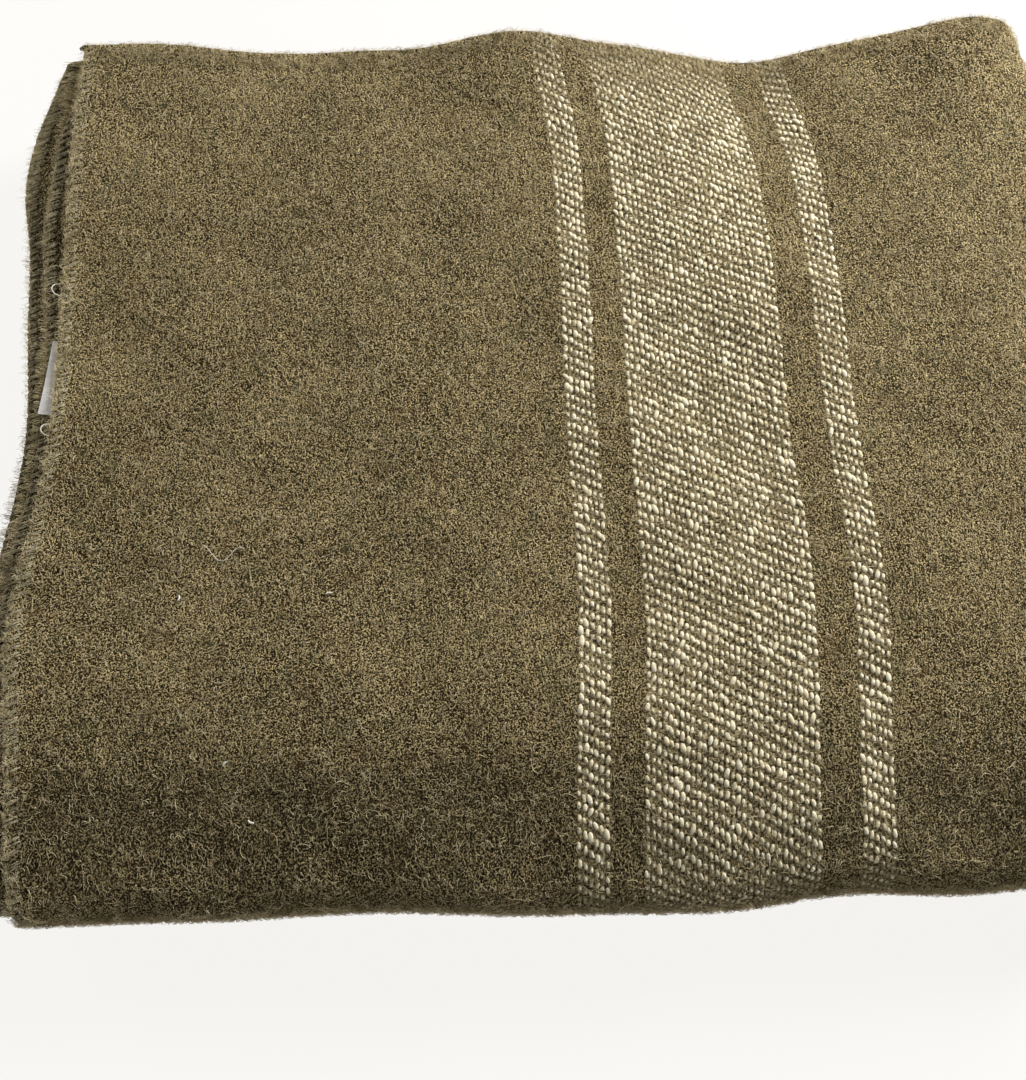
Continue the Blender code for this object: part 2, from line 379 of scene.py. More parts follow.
def tube_map(count, length, sides):
    """Places on the map for tubes: each stretch of rings has a cell of its own, with the caps beside it."""
    per_cell = min(RINGS_PER_CELL, length - 1)
    cells_each = -(-(length - 1) // per_cell)
    cells = count * cells_each
    wide = int(np.ceil(cells**0.5))
    high = -(-cells // wide)
    tube, ring, side = np.meshgrid(np.arange(count), np.arange(length - 1), np.arange(sides), indexing="ij")
    cell = tube * cells_each + ring // per_cell
    x0, y0 = cell % wide, cell // wide
    left, low = 0.04 + 0.92 * (ring % per_cell) / per_cell, 0.04 + 0.78 * side / sides
    right, top = left + 0.92 / per_cell, low + 0.78 / sides
    corners = [(left, low), (left, top), (right, top), (right, low)]
    quads = np.stack([np.stack([(x0 + x) / wide, (y0 + y) / high], axis=-1) for x, y in corners], axis=-2)
    turns = 2 * pi * np.arange(sides) / sides
    fans = []
    for middle, order, cell_of_cap in ((0.25, (2, 1), 0), (0.75, (1, 2), cells_each - 1)):
        cap_x, cap_y = middle + 0.2 * np.cos(turns), 0.91 + 0.05 * np.sin(turns)
        cell = np.arange(count) * cells_each + cell_of_cap
        x, y = (cell[:, None] % wide + cap_x) / wide, (cell[:, None] // wide + cap_y) / high
        place = np.stack([x, y], axis=-1)
        start = np.arange(sides - 2)
        fan = [place[:, 0 * start], place[:, start + order[0]], place[:, start + order[1]]]
        fans.append(np.stack(fan, axis=2).reshape(-1, 3, 2))
    return quads.reshape(-1, 4, 2), np.concatenate(fans)


def tubes(lines, radii, up, sides, flat=1.0):
    """Many tubes at once: points, quads, triangles and the maps of both. lines is tubes x points x 3, and
    radii is tubes x points."""
    count, length = radii.shape
    along = np.gradient(lines, axis=1)
    along /= np.linalg.norm(along, axis=2, keepdims=True) + 1e-12
    across = np.cross(along, up)
    across /= np.linalg.norm(across, axis=2, keepdims=True) + 1e-12
    rise = np.cross(across, along)
    turns = 2 * pi * np.arange(sides) / sides
    ring = np.cos(turns)[:, None] * across[:, :, None] + flat * np.sin(turns)[:, None] * rise[:, :, None]
    points = lines[:, :, None] + radii[:, :, None, None] * ring
    base = (np.arange(count)[:, None, None] * length + np.arange(length - 1)[None, :, None]) * sides
    here = np.arange(sides)
    after = (here + 1) % sides
    corners = [base + here, base + after, base + sides + after, base + sides + here]
    quads = np.stack(corners, axis=-1).reshape(-1, 4)
    first = np.arange(count)[:, None] * length * sides
    last = first + (length - 1) * sides
    fan = np.arange(1, sides - 1)[None, :]
    near = np.stack([first + 0 * fan, first + fan + 1, first + fan], axis=-1).reshape(-1, 3)
    far = np.stack([last + 0 * fan, last + fan, last + fan + 1], axis=-1).reshape(-1, 3)
    quad_map, triangle_map = tube_map(count, length, sides)
    return points.reshape(-1, 3), quads, np.concatenate([near, far]), quad_map, triangle_map


# --- Materials ---

DARK_WOOL = (0.012, 0.007, 0.001)
MID_WOOL = (0.096, 0.064, 0.018)
PALE_WOOL = (0.865, 0.698, 0.365)
RUST_WOOL = (0.165, 0.092, 0.036)
MOSS_WOOL = (0.105, 0.108, 0.045)
CREAM_YARN = (0.96, 0.85, 0.58)
STRIPE_GROUND = ((0.036, 0.025, 0.007), (0.62, 0.50, 0.27))
WOOL_SHEEN = (0.80, 0.70, 0.40)
YARN_SHEEN = (1.0, 0.96, 0.86)
LABEL_WHITE = (1.0, 0.99, 0.97)
LABEL_YELLOWED = (0.94, 0.92, 0.87)

# The wool's tone before any noise, and how far grain, fine, heather and clouds each move it
PLAIN_TONE = 0.28
TONE_GAINS = (6.3, 8.5, 1.6, 1.0)
FIBRE_TONE = 0.75
FIBRE_THICKNESS = 0.00050
FIBRE_LENGTH = 0.0046
RIB_PITCH = 0.00286

# Painted shade on the front slope, where the outermost layer turns down to the front away from the lamp:
# place and reach
PAINTED_SLOPE_SHADE = 0.050
PAINTED_SLOPE_SHADE_REACH = 0.030


class Nodes:
    """Short calls for building a material's nodes."""

    def __init__(self, name):
        self.material = bpy.data.materials.new(name)
        self.material.use_nodes = True
        self.tree = self.material.node_tree

    def put(self, socket, value):
        if isinstance(value, bpy.types.NodeSocket):
            self.tree.links.new(value, socket)
        else:
            socket.default_value = (*value, 1.0) if socket.type == "RGBA" else value

    def add(self, kind, inputs, **settings):
        """The outputs of a new node. inputs gives values or links by the socket's name or number."""
        node = self.tree.nodes.new(kind)
        for key, value in settings.items():
            setattr(node, key, value)
        for key, value in inputs.items():
            self.put(node.inputs[key], value)
        return node.outputs

    def math(self, operation, *values, clamp=False):
        return self.add("ShaderNodeMath", dict(enumerate(values)), operation=operation, use_clamp=clamp)[0]

    def remap(self, value, low, high, to_low=0.0, to_high=1.0):
        inputs = dict(enumerate((value, low, high, to_low, to_high)))
        return self.add("ShaderNodeMapRange", inputs, interpolation_type="SMOOTHSTEP")[0]

    def largest(self, values):
        total, *rest = values
        for value in rest:
            total = self.math("MAXIMUM", total, value)
        return total

    def cloth(self):
        return self.add("ShaderNodeUVMap", {}, uv_map="cloth")[0]

    def stretched(self, vector, turn, scale):
        return self.add("ShaderNodeMapping", {"Vector": vector, "Rotation": (0, 0, turn), "Scale": scale})[0]

    def noise(self, vector, scale, detail=2.0, roughness=0.5, distortion=0.0, output="Fac"):
        inputs = {"Vector": vector, "Scale": scale, "Detail": detail, "Roughness": roughness}
        inputs["Distortion"] = distortion
        return self.add("ShaderNodeTexNoise", inputs, noise_dimensions="2D")[output]

    def warped(self, vector, scale, reach):
        """The vector, pushed about by noise so that what it feeds wanders."""
        push = self.noise(vector, scale, 1.0, output="Color")
        centred = self.add("ShaderNodeVectorMath", {0: push, 1: (0.5, 0.5, 0.5)}, operation="SUBTRACT")[0]
        inputs = {0: centred, 1: (reach, reach, 0), 2: vector}
        return self.add("ShaderNodeVectorMath", inputs, operation="MULTIPLY_ADD")[0]

    def mix(self, factor, one, other):
        return self.add("ShaderNodeMix", {0: factor, 6: one, 7: other}, data_type="RGBA")[2]

    def bump(self, height, distance, strength=1.0):
        return self.add("ShaderNodeBump", {"Strength": strength, "Distance": distance, "Height": height})[0]

    def fill(self, inputs):
        """Values or links for the shader, by the socket's name."""
        for key, value in inputs.items():
            self.put(self.tree.nodes["Principled BSDF"].inputs[key], value)

    def finish(self, colour, roughness, normal, sheen, sheen_tint=(1, 1, 1)):
        self.fill({"Base Color": colour, "Roughness": roughness, "Normal": normal})
        self.fill({"Specular IOR Level": 0.15, "Sheen Weight": sheen, "Sheen Tint": sheen_tint})
        return self.material


def strands(nodes, vector, turns):
    """Short fibres that cross at several angles: 1 on a fibre and 0 between them."""
    scale = (1 / FIBRE_LENGTH, 1 / FIBRE_THICKNESS, 1)
    noises = [nodes.noise(nodes.stretched(vector, turn, scale), 1.0, 1.0, 0.4, 0.3) for turn in turns]
    return nodes.largest([nodes.remap(noise, 0.56, 0.74) for noise in noises])


def stripe_mask(nodes, v, ragged):
    """1 inside the woven stripes, at both ends of the cloth."""
    place = nodes.math("ADD", v, ragged)
    from_end = nodes.math("MINIMUM", place, nodes.math("SUBTRACT", CLOTH_LENGTH, place))
    masks = []
    for start, stop in STRIPE_PICKS:
        middle, half = (start + stop) / 2 * PICK_PITCH, (stop - start) / 2 * PICK_PITCH
        away = nodes.math("ABSOLUTE", nodes.math("SUBTRACT", from_end, middle))
        masks.append(nodes.remap(away, half + 0.0005, half - 0.0005))
    return nodes.largest(masks)


def wool_material():
    """Napped wool twill in mixed olive browns, with the cream stripes woven in."""
    nodes = Nodes("wool")
    math, remap, mix, noise = nodes.math, nodes.remap, nodes.mix, nodes.noise
    cloth = nodes.cloth()
    u, v, _ = nodes.add("ShaderNodeSeparateXYZ", {0: cloth})
    wandering = nodes.warped(cloth, 260, 0.0020)

    grain = noise(nodes.stretched(wandering, 0.6, (1, 1, 1)), 760, 3.0, 0.70)
    fine = noise(nodes.stretched(cloth, 1.9, (1, 1, 1)), 1400, 1.0, 0.6)
    heather = noise(cloth, 190, 2.0, 0.6)
    clouds = noise(cloth, 20, 3.0, 0.55)
    fibre = strands(nodes, wandering, (0.3, 1.1, 1.9, 2.7))

    tone = PLAIN_TONE
    for part, gain in zip((grain, fine, heather, clouds), TONE_GAINS):
        tone = math("MULTIPLY_ADD", math("SUBTRACT", part, 0.5), gain, tone)
    tone = math("MULTIPLY_ADD", fibre, FIBRE_TONE, tone)
    low = mix(remap(tone, -0.50, 0.60), DARK_WOOL, MID_WOOL)
    field = mix(remap(tone, 0.45, 2.20), low, PALE_WOOL)
    hue = noise(cloth, 75, 2.0, 0.5)
    field = mix(remap(hue, 0.54, 0.80, 0.0, 0.32), field, RUST_WOOL)
    field = mix(remap(hue, 0.44, 0.22, 0.0, 0.32), field, MOSS_WOOL)

    # Painted shade: the outermost layer's wool is mixed towards dark wool on the front slope, which faces
    # away from the lamp
    from_fold = math("ABSOLUTE", math("SUBTRACT", u, PAINTED_SLOPE_SHADE))
    painted_slope_shade = remap(from_fold, PAINTED_SLOPE_SHADE_REACH, 0.008, 0.0, 0.42)
    outermost = remap(v, TOP_PANEL + 0.045, TOP_PANEL + 0.020)
    field = mix(math("MULTIPLY", painted_slope_shade, outermost), field, DARK_WOOL)

    picks = math("DIVIDE", v, PICK_PITCH)
    pick = math("FLOOR", picks)
    within = math("PINGPONG", picks, 0.5)
    run = math("ADD", math("DIVIDE", u, FLOAT_PERIOD), math("MULTIPLY", pick, TWILL_STEP))
    over = math("PINGPONG", run, 0.5)
    cream = math("MULTIPLY", remap(over, 0.20, 0.36), remap(within, 0.08, 0.30))
    ground = mix(remap(grain, 0.38, 0.66), *STRIPE_GROUND)
    stripe = mix(cream, ground, CREAM_YARN)
    ragged = math("MULTIPLY", math("SUBTRACT", noise(cloth, 260, 1.0), 0.5), 0.0020)
    inside = stripe_mask(nodes, v, ragged)
    covered = remap(math("MULTIPLY_ADD", fibre, 0.4, clouds), 0.60, 1.05, 0.05, 0.60)
    near_back = remap(u, BACK_W - NAPPED_BACK, BACK_W, 0.0, 0.55)
    near_front = remap(u, NAPPED_FRONT, -0.010, 0.0, 0.75)
    covered = nodes.largest((covered, near_back, near_front))
    colour = mix(inside, field, mix(covered, stripe, field))

    ribs = math("SINE", math("MULTIPLY", v, 2 * pi / RIB_PITCH))
    relief = math("MULTIPLY", grain, 1.4)
    yarn = math("MULTIPLY", inside, cream)
    for part, gain in ((ribs, 0.10), (fine, 0.5), (fibre, 0.40), (yarn, 0.8)):
        relief = math("MULTIPLY_ADD", part, gain, relief)
    roughness = remap(grain, 0.3, 0.7, 1.0, 0.85)
    return nodes.finish(colour, roughness, nodes.bump(relief, 0.0013), 0.06, WOOL_SHEEN)


def yarn_material(name, dark, pale, size, sheen):
    """Spun yarn: twist lines along it, and tone that changes from place to place."""
    nodes = Nodes(name)
    cloth = nodes.cloth()
    twist = nodes.noise(nodes.stretched(cloth, radians(35), (900, 3200, 1)), 1.0, 2.0, 0.6)
    tone = nodes.noise(cloth, 1 / size, 2.0, 0.6)
    blend = nodes.math("MULTIPLY_ADD", tone, 0.75, nodes.math("MULTIPLY", twist, 0.45), clamp=True)
    colour = nodes.mix(nodes.remap(blend, 0.35, 0.85), dark, pale)
    roughness = nodes.remap(twist, 0.3, 0.7, 0.98, 0.8)
    return nodes.finish(colour, roughness, nodes.bump(twist, 0.0004, 0.7), sheen, YARN_SHEEN)


def label_material():
    """White satin ribbon: fine ribs, and a slight yellowing."""
    nodes = Nodes("label_satin")
    cloth = nodes.cloth()
    ribs = nodes.noise(nodes.stretched(cloth, 0.0, (300, 2600, 1)), 1.0, 1.0, 0.5)
    age = nodes.noise(cloth, 90, 2.0, 0.5)
    colour = nodes.mix(nodes.remap(age, 0.4, 0.8), LABEL_WHITE, LABEL_YELLOWED)
    return nodes.finish(colour, nodes.remap(ribs, 0.3, 0.7, 0.5, 0.65), nodes.bump(ribs, 0.0002, 0.4), 0.1)


WOOL = wool_material()
LABEL = label_material()
# Each yarn's dark and pale tone, the size of its patches of tone, and its sheen
CREAM = yarn_material("cream_yarn", (0.86, 0.75, 0.49), (1.0, 0.94, 0.74), 0.0030, 0.1)
THREAD = yarn_material("overlock_yarn", (0.100, 0.085, 0.044), (0.660, 0.590, 0.390), 0.003, 0.15)
NAP = yarn_material("nap_fibres", (0.380, 0.295, 0.138), (1.0, 0.87, 0.56), 0.006, 0.1)
LINT = yarn_material("lint", (0.86, 0.80, 0.66), (1.0, 0.97, 0.87), 0.002, 0.1)

# --- The cloth ---

# Steps of the mesh, in metres: where it shows, along the hidden panels, across the lower half and the inner
# sheet. Then the number of steps round the turn at the back and round the front fold.
FINE_STEP = 0.0050
COARSE_STEP = 0.0110
LOWER_STEP = 0.0055
HIDDEN_STEP = 0.008
TURN_STEPS = 9
FRONT_STEPS = 26
# A cut end is rounded: the cloth's fullness at these distances from it
END_ROUNDING = (0.0, 0.00030, 0.00090, 0.00180)
END_FULLNESS = (0.30, 0.66, 0.90, 1.0)


def stations():
    """Stretch, share and fullness at each station along the cloth. Some lie where bands of levels meet."""
    stretch, share, full = [], [], []

    def put(k, shares, before=(), after=()):
        stretch.extend([k] * len(shares))
        share.extend(shares)
        full.extend([*before, *[1.0] * (len(shares) - len(before) - len(after)), *after])

    flat = np.arange(END_ROUNDING[-1] + FINE_STEP, TOP_PANEL, FINE_STEP) / TOP_PANEL
    ends = np.array(END_ROUNDING) / TOP_PANEL
    put(PANEL_A, [*ends, *flat[:-1]], before=END_FULLNESS)
    cut = np.arccos(2 / 3) / pi
    middle = np.linspace(cut, 1 - cut, 9)
    put(RIGHT_OUTER, [*np.linspace(0, cut, 6)[:-1], *middle[:-1], *np.linspace(1 - cut, 1, 6)])
    coarse = int(PANEL_LENGTH / COARSE_STEP)
    for panel, turn, turn_stations in ((PANEL_B, LEFT, 11), (PANEL_C, RIGHT_INNER, 13)):
        put(panel, np.linspace(0, 1, coarse)[1:-1])
        put(turn, np.linspace(0, 1, turn_stations))
    near_end = 1 - np.array(END_ROUNDING[::-1]) / (RIGHT_X - LAST_TIPS[0])
    run = np.linspace(0, near_end[0], coarse)[1:-1]
    put(PANEL_D, [*run, *near_end], after=END_FULLNESS[::-1])
    return np.array(stretch), np.array(share), np.array(full)


STRETCH, SHARE, FULLNESS = stations()
# The level of the cloth's middle at each station
LEVELS = slab_place(STRETCH, SHARE, 0 * SHARE, 0 * SHARE)[1]


def band_of_stations():
    """The station ranges that lie in each quarter of the slab's thickness, from the outermost inwards."""
    middle = (LEVELS[1:] + LEVELS[:-1]) / 2
    band = 3 - np.clip((middle / (2 * LAYER_PITCH)).astype(int), 0, 3)
    changes = [0, *(np.flatnonzero(np.diff(band)) + 1), len(band)]
    runs = list(zip(changes[:-1], changes[1:]))
    return [[run for run in runs if band[run[0]] == k] for k in range(4)]


def skin(course, place, side, chosen=slice(None)):
    """One face of the cloth, as a grid of settled points, and each point's place on the flat cloth."""
    distance, along, across, middle, full, u = (np.array(part)[:, None] for part in zip(*course))
    half = side * HALF_THICKNESS * full * FULLNESS[None, chosen]
    stretch, share = STRETCH[None, chosen], SHARE[None, chosen]
    x, level = slab_place(stretch, share, middle + half * across, middle)
    points = settle(*place(x, distance + half * along, level))
    v = along_cloth(stretch, share, middle)
    return points, np.stack(np.broadcast_arrays(u + 0 * v, v), axis=-1)


# How much of the bake map each stretch of the cloth gets for its length, by how much of it shows
STRETCH_ON_MAP = np.array((1.0, 1.0, 0.18, 0.5, 0.08, 0.3, 0.08))
HIDDEN_SHEET_ON_MAP = 0.10


def add_sheet(shape, course, place, chosen=slice(None), weight=1.0):
    outside, uv = skin(course, place, 1, chosen)
    inside, _ = skin(course, place, -1, chosen)
    row_steps = np.abs(np.diff(uv[:, 0, 0]))
    is_inner = np.array([entry[3] < 0 for entry in course[1:]])
    row_steps = row_steps * np.where(is_inner, HIDDEN_SHEET_ON_MAP, 1.0) + 1e-5
    columns = STRETCH[chosen]
    column_steps = np.abs(np.diff(uv[0, :, 1])) * STRETCH_ON_MAP[columns[1:]] + 1e-5
    shape.add(*closed_sheet(outside, inside, uv, row_steps, column_steps), weight)


def straight(middle, step, rounded_end=False):
    """Course entries from the front fold to the back: distance, direction, middle offset, fullness and u."""
    stops = list(np.linspace(0, PANEL_DEPTH, int(PANEL_DEPTH / step)))
    full = [1.0] * len(stops)
    if rounded_end:
        stops = stops[:-1] + [PANEL_DEPTH - gap for gap in END_ROUNDING[::-1]]
        full = full[:-1] + list(END_FULLNESS[::-1])
    return [(d, 0.0, 1.0, middle, f, HALF_FRONT + d) for d, f in zip(stops, full)]


def hairpin():
    """The outer sheet, the turn at the back, and the inner sheet back to the front fold."""
    course = straight(SHEET_OFFSET, FINE_STEP)
    for step in range(1, TURN_STEPS):
        angle = pi * step / TURN_STEPS
        along, across = sin(angle), cos(angle)
        distance, middle = PANEL_DEPTH + SHEET_OFFSET * along, SHEET_OFFSET * across
        course.append((distance, along, across, middle, 1.0, BACK_W + SHEET_OFFSET * angle))
    whole = BACK_W + pi * SHEET_OFFSET + PANEL_DEPTH
    for distance, *_ in reversed(straight(-SHEET_OFFSET, HIDDEN_STEP)):
        course.append((distance, 0.0, -1.0, -SHEET_OFFSET, 1.0, whole - distance))
    return course


def front_course(middle):
    angles = [pi / 2 - pi * step / FRONT_STEPS for step in range(FRONT_STEPS + 1)]
    return [(angle, 0.0, 1.0, middle, 1.0, angle * FRONT_RADIUS) for angle in angles]


def lower_course(middle, step):
    return [(*entry, -u) for *entry, u in straight(middle, step, rounded_end=True)]


def bend(piece):
    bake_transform(piece)


def finish_piece(piece, slot_name, *nodes):
    if nodes:
        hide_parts(*nodes)


SOFT_EDGE = radians(50)
upper_shape = Shape()
add_sheet(upper_shape, hairpin(), upper_place)
wool_upper = upper_shape.make("wool_upper", WOOL, SOFT_EDGE)
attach(wool_upper, "upper_half")
finish_piece(wool_upper, "wool_cloth", "cloth_upper")

lower_shape = Shape()
add_sheet(lower_shape, lower_course(SHEET_OFFSET, LOWER_STEP), lower_place)
add_sheet(lower_shape, lower_course(-SHEET_OFFSET, HIDDEN_STEP), lower_place, weight=HIDDEN_SHEET_ON_MAP)
wool_lower = lower_shape.make("wool_lower", WOOL, SOFT_EDGE)
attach(wool_lower, "lower_half")
finish_piece(wool_lower, "wool_cloth", "cloth_lower_outer", "cloth_lower_inner")

BAND_NAMES = ("outermost", "second", "third", "innermost")
BAND_RANGES = band_of_stations()
for band, ranges in enumerate(BAND_RANGES):
    shape = Shape()
    for start, stop in ranges:
        for middle in (SHEET_OFFSET, -SHEET_OFFSET):
            on_map = 1.0 if middle > 0 and start == 0 else HIDDEN_SHEET_ON_MAP
            add_sheet(shape, front_course(middle), front_place, slice(start, stop + 1), on_map)
    piece = shape.make(f"wool_front_{BAND_NAMES[band]}", WOOL, SOFT_EDGE)
    bend(piece)
    finish_piece(piece, "wool_cloth", "cloth_front_outer", "cloth_front_inner")

# --- Yarn, stitches and fibres on the outermost sheet ---

UPPER, FRONT, LOWER = "upper", "front", "lower"
SECTION_BODY = {UPPER: "upper_half", LOWER: "lower_half"}


def on_cloth(v, w, rise, middle=SHEET_OFFSET):
    """Settled points that stand off a sheet's middle by rise. w is 0 at the middle of the front fold, and
    grows towards the back of the upper half; past the back it goes round the hairpin."""
    v, w, rise = np.broadcast_arrays(v, w, rise)
    stretch, share = stretch_and_share(v, middle)
    past_back = np.clip(w - BACK_W, 0, pi * SHEET_OFFSET) / SHEET_OFFSET
    turning = past_back > 0
    offset = np.where(turning, (SHEET_OFFSET + rise) * np.cos(past_back), middle + rise)
    x, level = slab_place(stretch, share, offset, np.where(turning, offset, middle))
    angle = np.clip(w / HALF_FRONT, -1, 1) * pi / 2
    away = np.abs(w) - HALF_FRONT
    distance = np.where(turning, PANEL_DEPTH + (SHEET_OFFSET + rise) * np.sin(past_back), away)
    in_front = np.abs(w) <= HALF_FRONT
    y = np.where(in_front, HINGE_Y - level * np.cos(angle), HINGE_Y + distance)
    z = np.where(in_front, HINGE_Z + level * np.sin(angle), HINGE_Z + np.sign(w) * level)
    return settle(x, y, z)


def outward(v, w, middle=SHEET_OFFSET):
    """Unit normals of the sheet's outer face."""
    normal = on_cloth(v, w, 0.002, middle) - on_cloth(v, w, 0.0, middle)
    return normal / (np.linalg.norm(normal, axis=-1, keepdims=True) + 1e-12)


def place_piece(piece, section):
    if section == FRONT:
        bend(piece)
    else:
        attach(piece, SECTION_BODY[section])


MOST_FACES = 190_000


def build_strands(name, v, w, rise, radius, material, sides=3, flat=1.0, middle=SHEET_OFFSET):
    """Tubes along paths on the cloth: one piece for each section that has any, or several if it has many."""
    inner = w[:, w.shape[1] // 2]
    section = np.where(inner > HALF_FRONT, UPPER, np.where(inner < -HALF_FRONT, LOWER, FRONT))
    faces_each = 2 * sides * w.shape[1]
    for which in (UPPER, FRONT, LOWER):
        found = np.flatnonzero(section == which)
        parts = -(-len(found) * faces_each // MOST_FACES)
        for k, chosen in enumerate(np.array_split(found, parts) if parts else []):
            lines = on_cloth(v[chosen], w[chosen], rise[chosen], middle)
            up = outward(v[chosen], w[chosen], middle)
            points, *faces_and_maps = tubes(lines, radius[chosen], up, sides, flat)
            uv = np.repeat(np.stack([w[chosen], v[chosen]], axis=-1).reshape(-1, 2), sides, axis=0)
            shape = Shape()
            shape.add(points, uv, *faces_and_maps)
            number = f"_{k + 1}" if parts > 1 else ""
            piece = shape.make(f"{name}_{which}{number}", material)
            place_piece(piece, which)
            finish_piece(piece, "wool_cloth")


FLOAT_LENGTH = 0.0032
FLOAT_WIDTH = 0.00165
FLOAT_RISE = 0.00045
FLOAT_FLATNESS = 0.34
FLOAT_LEAN = 0.10
FLOAT_RINGS = 5


def stripe_floats():
    """The cream yarn where it passes over two warp threads: a small arched body for each float."""
    w_limit = BACK_W + 0.0015
    v_middles, w_middles = [], []
    for start, stop in STRIPE_PICKS:
        for pick in range(start, stop):
            shift = (0.5 - TWILL_STEP * pick) % 1
            periods = np.arange(np.ceil(-w_limit / FLOAT_PERIOD - shift), w_limit / FLOAT_PERIOD - shift)
            w_middles.append((periods + shift) * FLOAT_PERIOD)
            v_middles.append(np.full(len(periods), (pick + 0.5) * PICK_PITCH))
    v, w = np.concatenate(v_middles), np.concatenate(w_middles)
    count = len(v)
    v = v + random.normal(0, 0.00022, count) + 0.00030 * waves(v, w, 0.006, 61)
    w = w + random.normal(0, 0.00034, count) + 0.00040 * waves(v, w, 0.010, 62)
    size = random.normal(1.0, 0.20, count).clip(0.45, 1.4) * (1 + 0.10 * waves(v, w, 0.012, 63))
    lean = random.normal(FLOAT_LEAN, 0.24, count)
    napped = smooth(w, BACK_W - NAPPED_BACK, BACK_W)
    napped = np.maximum(napped, smooth(-w, -NAPPED_FRONT, 0.010))
    size = size * (1 - 0.42 * napped)
    share = np.linspace(-1, 1, FLOAT_RINGS)[None, :]
    half = (FLOAT_LENGTH / 2 * size * random.normal(1, 0.12, count))[:, None]
    v_path = v[:, None] - share * half * lean[:, None]
    w_path = w[:, None] + share * half
    sunk = (random.uniform(-0.00030, 0.00010, count) - 0.00042 * napped)[:, None]
    rise = HALF_THICKNESS - 0.0001 + sunk + FLOAT_RISE * (1 - 1.25 * share**2)
    radius = FLOAT_WIDTH / 2 * size[:, None] * np.sqrt(1 - 0.86 * share**2)
    build_strands("stripe_yarn", v_path, w_path, rise, radius, CREAM, sides=6, flat=FLOAT_FLATNESS)


stripe_floats()


def fibre_paths(count, v_range, w_range, length, lift, radius, curl=1.0, points=6, heading=(0.0, 2 * pi)):
    """Random curly fibres that start on the cloth: paths and radii for build_strands."""
    v = random.uniform(*v_range, count)
    w = random.uniform(*w_range, count)
    heading = random.uniform(*heading, count)
    bend_rate = random.normal(0, curl, count)
    size = random.uniform(*length, count)
    step = np.linspace(0, 1, points)[None, :]
    angle = heading[:, None] + bend_rate[:, None] * step * 2
    angle = angle + random.normal(0, 0.25 * curl, count)[:, None] * np.sin(step * 9)
    moves = np.stack([np.cos(angle), np.sin(angle)]) * (size[:, None] / (points - 1))
    moves[:, :, 0] = 0
    dv, dw = np.cumsum(moves, axis=2)
    top = random.uniform(*lift, count)[:, None]
    rise = HALF_THICKNESS - 0.0002 + top * np.sin(pi * np.minimum(step * 1.1, 1)) + 0.0002 * step
    thickness = random.uniform(*radius, count)[:, None] * (1 - 0.55 * step)
    return v[:, None] + dv, w[:, None] + dw, rise, thickness


ON_TOP = (0.0, TOP_PANEL + pi * OUTER_TURN_RADIUS)
VISIBLE_W = (-HALF_FRONT * 0.6, BACK_W)
FRONT_RIM = (-0.020, 0.012)
BACK_RIM = (BACK_W - 0.008, BACK_W + 0.004)

# Name, count, v, w, length, lift, radius, curl and points of each set of fibres
NAP_SETS = (
    ("nap_short", 38000, ON_TOP, VISIBLE_W, (0.0014, 0.0048), (0.0003, 0.0009), (0.00009, 0.00016), 1.3, 5),
    ("nap_long", 4500, ON_TOP, VISIBLE_W, (0.0050, 0.0130), (0.0004, 0.0013), (0.00010, 0.00016), 2.2, 9),
    ("fuzz_front", 9000, ON_TOP, FRONT_RIM, (0.0020, 0.0070), (0.0006, 0.0020), (0.00008, 0.00013), 1.8, 6),
    ("fuzz_back", 4000, ON_TOP, BACK_RIM, (0.0020, 0.0070), (0.0006, 0.0022), (0.00005, 0.00009), 1.8, 6),
)
for name, *settings in NAP_SETS:
    build_strands(name, *fibre_paths(*settings), NAP)

# Name, end of the cloth and sheet of each cut end that shows, from the top layer down
FUZZY_ENDS = (("top", "first", 1), ("second", "first", -1), ("third", "last", -1))
FIBRES_PER_END = 1500
SHORT_OF_BACK = (VISIBLE_W[0], VISIBLE_W[1] - 0.006)


def edge_fuzz(name, end, side):
    """Fine fibres that stand off a cut end, mostly outwards."""
    middle = side * SHEET_OFFSET
    total = sum(stretch_lengths(middle))
    if end == "first":
        v_range, heading = (-0.0006, 0.0022), (pi - 1.3, pi + 1.3)
    else:
        v_range, heading = (total - 0.0022, total + 0.0006), (-1.3, 1.3)
    ranges = (v_range, SHORT_OF_BACK, (0.0016, 0.0045), (0.0003, 0.0012), (0.00006, 0.00011))
    v, w, rise, radius = fibre_paths(FIBRES_PER_END, *ranges, curl=1.6, heading=heading)
    rise = rise if end == "first" else -rise
    build_strands(f"fuzz_{name}_edge", v, w, rise, radius, NAP, middle=middle)


for name, end, side in FUZZY_ENDS:
    edge_fuzz(name, end, side)

# Loose white threads that hang out of the top edge: place towards the back, length and reach of each loop
LOOSE_LOOPS = ((0.3035, 0.0068, 0.0042), (0.2275, 0.0060, 0.0036))
# Bits of pale lint on the cloth, and one long curled hair: place along the cloth and towards the back
LINT_PLACES = ((0.0925, 0.0725), (0.1037, 0.0489), (0.0670, 0.1460), (0.1320, 0.1460))
HAIR_START = (0.076, 0.167)


